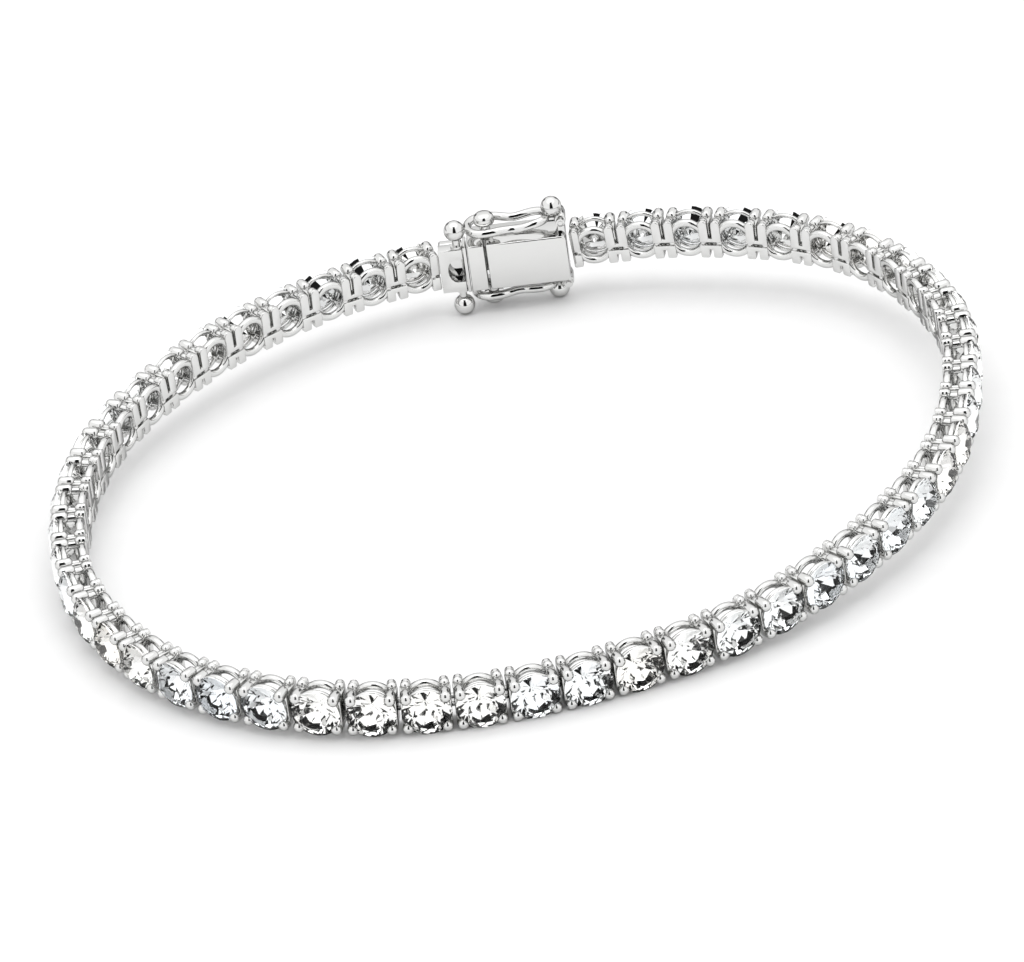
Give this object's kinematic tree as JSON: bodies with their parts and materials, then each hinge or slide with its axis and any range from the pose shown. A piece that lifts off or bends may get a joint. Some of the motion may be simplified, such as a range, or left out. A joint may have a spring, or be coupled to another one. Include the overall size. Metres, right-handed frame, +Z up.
{
  "type": "tennis bracelet",
  "caption": "Closed tennis bracelet of round brilliant stones in four-prong links, standing on its edge, with a flat box clasp and hinged figure-8 safety latches.",
  "frame": {"origin": "middle of the bounding box, at the bottom, on the surface that the bracelet stands on", "axes": "+Z up along the stones' height, +Y towards the clasp at the back, +X to the viewer's right, towards the clasp's box end"},
  "size_m": [0.0618, 0.0566, 0.0078],
  "materials": {
    "string_right": "mirror-polished white gold with set colourless brilliant stones",
    "string_left": "mirror-polished white gold with set colourless brilliant stones",
    "clasp_end": "mirror-polished white gold",
    "clasp_box": "mirror-polished white gold",
    "latch_top": "mirror-polished white gold",
    "latch_bottom": "mirror-polished white gold"
  },
  "bodies": {
    "bracelet": {"string_right": "string_right", "string_left": "string_left", "clasp_end": "clasp_end", "clasp_box": "clasp_box"},
    "latch_top": {"latch_top": "latch_top"},
    "latch_bottom": {"latch_bottom": "latch_bottom"}
  },
  "joints": [
    {"name": "latch_top_hinge", "type": "hinge", "parent": "bracelet", "child": "latch_top", "pos_m": [0.00508, 0.02626, 0.00628], "axis": [0.0593, 0.9976, 0.0368], "range_deg": [0, 110]},
    {"name": "latch_bottom_hinge", "type": "hinge", "parent": "bracelet", "child": "latch_bottom", "pos_m": [0.00514, 0.02644, 0.00147], "axis": [-0.0593, -0.9976, -0.0368], "range_deg": [0, 110]}
  ]
}
